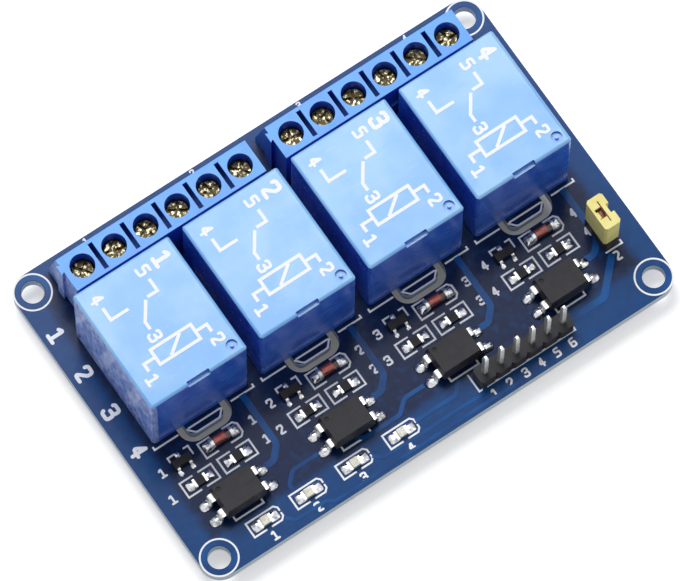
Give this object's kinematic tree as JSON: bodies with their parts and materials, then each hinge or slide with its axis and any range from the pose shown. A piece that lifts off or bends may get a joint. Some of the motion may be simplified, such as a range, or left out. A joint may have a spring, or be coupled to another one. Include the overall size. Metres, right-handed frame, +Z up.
{
  "type": "relay module board",
  "caption": "Blue circuit board with a row of sealed relays, screw terminal blocks behind them, and driver parts, a pin header and a jumper in front.",
  "frame": {"origin": "centre of the four mounting holes, on the underside of the board", "axes": "+X along the row of relays with the jumper at the +X end, +Y towards the screw terminals, +Z up from the component side"},
  "size_m": [0.0762, 0.0508, 0.0189],
  "materials": {
    "solder_mask": "glossy blue solder mask over glass fibre laminate",
    "solder": "bright solder",
    "terminal_blue": "moulded blue nylon",
    "plated_steel": "zinc-plated steel",
    "tinned_metal": "tinned brass",
    "clamp_brass": "plated brass",
    "relay_blue": "moulded blue PBT",
    "coil_former": "white nylon",
    "copper_wire": "enamelled copper wire",
    "spring_copper": "rolled copper alloy",
    "black_moulding": "matt epoxy or nylon",
    "diode_glass": "coloured glass",
    "light_lens": "milky epoxy",
    "jumper_yellow": "moulded yellow nylon",
    "white_ink": "printed white legend",
    "masked_copper": "copper tracks under blue solder mask"
  },
  "bodies": {
    "module": {"circuit_board": "solder_mask", "solder_joints": "solder", "terminal_housing_left": "terminal_blue", "terminal_housing_right": "terminal_blue", "terminal_frames": "plated_steel", "terminal_pins": "tinned_metal", "relay_cover_1": "relay_blue", "relay_cover_2": "relay_blue", "relay_cover_3": "relay_blue", "relay_cover_4": "relay_blue", "relay_bases": "relay_blue", "relay_yokes": "plated_steel", "relay_bobbins": "coil_former", "relay_windings": "copper_wire", "relay_contacts": "spring_copper", "relay_coil_pins": "tinned_metal", "optocoupler_bodies": "black_moulding", "optocoupler_leads": "tinned_metal", "transistor_bodies": "black_moulding", "transistor_leads": "tinned_metal", "diode_bodies": "diode_glass", "resistor_bodies": "black_moulding", "light_bodies": "light_lens", "chip_ends": "tinned_metal", "header_housings": "black_moulding", "header_pins": "tinned_metal"},
    "clamp_1": {"wire_clamp_1": "clamp_brass"},
    "screw_1": {"terminal_screw_1": "clamp_brass"},
    "clamp_2": {"wire_clamp_2": "clamp_brass"},
    "screw_2": {"terminal_screw_2": "clamp_brass"},
    "clamp_3": {"wire_clamp_3": "clamp_brass"},
    "screw_3": {"terminal_screw_3": "clamp_brass"},
    "clamp_4": {"wire_clamp_4": "clamp_brass"},
    "screw_4": {"terminal_screw_4": "clamp_brass"},
    "clamp_5": {"wire_clamp_5": "clamp_brass"},
    "screw_5": {"terminal_screw_5": "clamp_brass"},
    "clamp_6": {"wire_clamp_6": "clamp_brass"},
    "screw_6": {"terminal_screw_6": "clamp_brass"},
    "clamp_7": {"wire_clamp_7": "clamp_brass"},
    "screw_7": {"terminal_screw_7": "clamp_brass"},
    "clamp_8": {"wire_clamp_8": "clamp_brass"},
    "screw_8": {"terminal_screw_8": "clamp_brass"},
    "clamp_9": {"wire_clamp_9": "clamp_brass"},
    "screw_9": {"terminal_screw_9": "clamp_brass"},
    "clamp_10": {"wire_clamp_10": "clamp_brass"},
    "screw_10": {"terminal_screw_10": "clamp_brass"},
    "clamp_11": {"wire_clamp_11": "clamp_brass"},
    "screw_11": {"terminal_screw_11": "clamp_brass"},
    "clamp_12": {"wire_clamp_12": "clamp_brass"},
    "screw_12": {"terminal_screw_12": "clamp_brass"},
    "armature_1": {"relay_armature_1": "plated_steel", "relay_leaf_1": "spring_copper"},
    "armature_2": {"relay_armature_2": "plated_steel", "relay_leaf_2": "spring_copper"},
    "armature_3": {"relay_armature_3": "plated_steel", "relay_leaf_3": "spring_copper"},
    "armature_4": {"relay_armature_4": "plated_steel", "relay_leaf_4": "spring_copper"},
    "jumper": {"jumper_cap": "jumper_yellow", "jumper_clip": "spring_copper"}
  },
  "joints": [
    {"name": "clamp_slide_1", "type": "slide", "parent": "module", "child": "clamp_1", "axis": [0, 0, -1], "range_m": [0, 0.0022]},
    {"name": "screw_turn_1", "type": "hinge", "parent": "clamp_1", "child": "screw_1", "pos_m": [-0.02936, 0.01895, 0.0086], "axis": [0, 0, -1], "range_deg": [0, 1760]},
    {"name": "clamp_slide_2", "type": "slide", "parent": "module", "child": "clamp_2", "axis": [0, 0, -1], "range_m": [0, 0.0022]},
    {"name": "screw_turn_2", "type": "hinge", "parent": "clamp_2", "child": "screw_2", "pos_m": [-0.02428, 0.01895, 0.0086], "axis": [0, 0, -1], "range_deg": [0, 1760]},
    {"name": "clamp_slide_3", "type": "slide", "parent": "module", "child": "clamp_3", "axis": [0, 0, -1], "range_m": [0, 0.0022]},
    {"name": "screw_turn_3", "type": "hinge", "parent": "clamp_3", "child": "screw_3", "pos_m": [-0.0192, 0.01895, 0.0086], "axis": [0, 0, -1], "range_deg": [0, 1760]},
    {"name": "clamp_slide_4", "type": "slide", "parent": "module", "child": "clamp_4", "axis": [0, 0, -1], "range_m": [0, 0.0022]},
    {"name": "screw_turn_4", "type": "hinge", "parent": "clamp_4", "child": "screw_4", "pos_m": [-0.01412, 0.01895, 0.0086], "axis": [0, 0, -1], "range_deg": [0, 1760]},
    {"name": "clamp_slide_5", "type": "slide", "parent": "module", "child": "clamp_5", "axis": [0, 0, -1], "range_m": [0, 0.0022]},
    {"name": "screw_turn_5", "type": "hinge", "parent": "clamp_5", "child": "screw_5", "pos_m": [-0.00904, 0.01895, 0.0086], "axis": [0, 0, -1], "range_deg": [0, 1760]},
    {"name": "clamp_slide_6", "type": "slide", "parent": "module", "child": "clamp_6", "axis": [0, 0, -1], "range_m": [0, 0.0022]},
    {"name": "screw_turn_6", "type": "hinge", "parent": "clamp_6", "child": "screw_6", "pos_m": [-0.00396, 0.01895, 0.0086], "axis": [0, 0, -1], "range_deg": [0, 1760]},
    {"name": "clamp_slide_7", "type": "slide", "parent": "module", "child": "clamp_7", "axis": [0, 0, -1], "range_m": [0, 0.0022]},
    {"name": "screw_turn_7", "type": "hinge", "parent": "clamp_7", "child": "screw_7", "pos_m": [0.00432, 0.01895, 0.0086], "axis": [0, 0, -1], "range_deg": [0, 1760]},
    {"name": "clamp_slide_8", "type": "slide", "parent": "module", "child": "clamp_8", "axis": [0, 0, -1], "range_m": [0, 0.0022]},
    {"name": "screw_turn_8", "type": "hinge", "parent": "clamp_8", "child": "screw_8", "pos_m": [0.0094, 0.01895, 0.0086], "axis": [0, 0, -1], "range_deg": [0, 1760]},
    {"name": "clamp_slide_9", "type": "slide", "parent": "module", "child": "clamp_9", "axis": [0, 0, -1], "range_m": [0, 0.0022]},
    {"name": "screw_turn_9", "type": "hinge", "parent": "clamp_9", "child": "screw_9", "pos_m": [0.01448, 0.01895, 0.0086], "axis": [0, 0, -1], "range_deg": [0, 1760]},
    {"name": "clamp_slide_10", "type": "slide", "parent": "module", "child": "clamp_10", "axis": [0, 0, -1], "range_m": [0, 0.0022]},
    {"name": "screw_turn_10", "type": "hinge", "parent": "clamp_10", "child": "screw_10", "pos_m": [0.01956, 0.01895, 0.0086], "axis": [0, 0, -1], "range_deg": [0, 1760]},
    {"name": "clamp_slide_11", "type": "slide", "parent": "module", "child": "clamp_11", "axis": [0, 0, -1], "range_m": [0, 0.0022]},
    {"name": "screw_turn_11", "type": "hinge", "parent": "clamp_11", "child": "screw_11", "pos_m": [0.02464, 0.01895, 0.0086], "axis": [0, 0, -1], "range_deg": [0, 1760]},
    {"name": "clamp_slide_12", "type": "slide", "parent": "module", "child": "clamp_12", "axis": [0, 0, -1], "range_m": [0, 0.0022]},
    {"name": "screw_turn_12", "type": "hinge", "parent": "clamp_12", "child": "screw_12", "pos_m": [0.02972, 0.01895, 0.0086], "axis": [0, 0, -1], "range_deg": [0, 1760]},
    {"name": "armature_rock_1", "type": "hinge", "parent": "module", "child": "armature_1", "pos_m": [-0.02618, -0.00275, 0.0126], "axis": [-1, 0, 0], "range_deg": [0, 2.3], "stiffness_Nm_per_rad": 0.002, "springref_deg": -8.59},
    {"name": "armature_rock_2", "type": "hinge", "parent": "module", "child": "armature_2", "pos_m": [-0.00873, -0.00275, 0.0126], "axis": [-1, 0, 0], "range_deg": [0, 2.3], "stiffness_Nm_per_rad": 0.002, "springref_deg": -8.59},
    {"name": "armature_rock_3", "type": "hinge", "parent": "module", "child": "armature_3", "pos_m": [0.00873, -0.00275, 0.0126], "axis": [-1, 0, 0], "range_deg": [0, 2.3], "stiffness_Nm_per_rad": 0.002, "springref_deg": -8.59},
    {"name": "armature_rock_4", "type": "hinge", "parent": "module", "child": "armature_4", "pos_m": [0.02618, -0.00275, 0.0126], "axis": [-1, 0, 0], "range_deg": [0, 2.3], "stiffness_Nm_per_rad": 0.002, "springref_deg": -8.59},
    {"name": "jumper_pull", "type": "slide", "parent": "module", "child": "jumper", "axis": [0, 0, 1], "range_m": [0, 0.0055]}
  ],
  "couplings": [
    {"joint": "screw_turn_1", "follows": "clamp_slide_1", "rad_per_m": 13963},
    {"joint": "screw_turn_2", "follows": "clamp_slide_2", "rad_per_m": 13963},
    {"joint": "screw_turn_3", "follows": "clamp_slide_3", "rad_per_m": 13963},
    {"joint": "screw_turn_4", "follows": "clamp_slide_4", "rad_per_m": 13963},
    {"joint": "screw_turn_5", "follows": "clamp_slide_5", "rad_per_m": 13963},
    {"joint": "screw_turn_6", "follows": "clamp_slide_6", "rad_per_m": 13963},
    {"joint": "screw_turn_7", "follows": "clamp_slide_7", "rad_per_m": 13963},
    {"joint": "screw_turn_8", "follows": "clamp_slide_8", "rad_per_m": 13963},
    {"joint": "screw_turn_9", "follows": "clamp_slide_9", "rad_per_m": 13963},
    {"joint": "screw_turn_10", "follows": "clamp_slide_10", "rad_per_m": 13963},
    {"joint": "screw_turn_11", "follows": "clamp_slide_11", "rad_per_m": 13963},
    {"joint": "screw_turn_12", "follows": "clamp_slide_12", "rad_per_m": 13963}
  ]
}
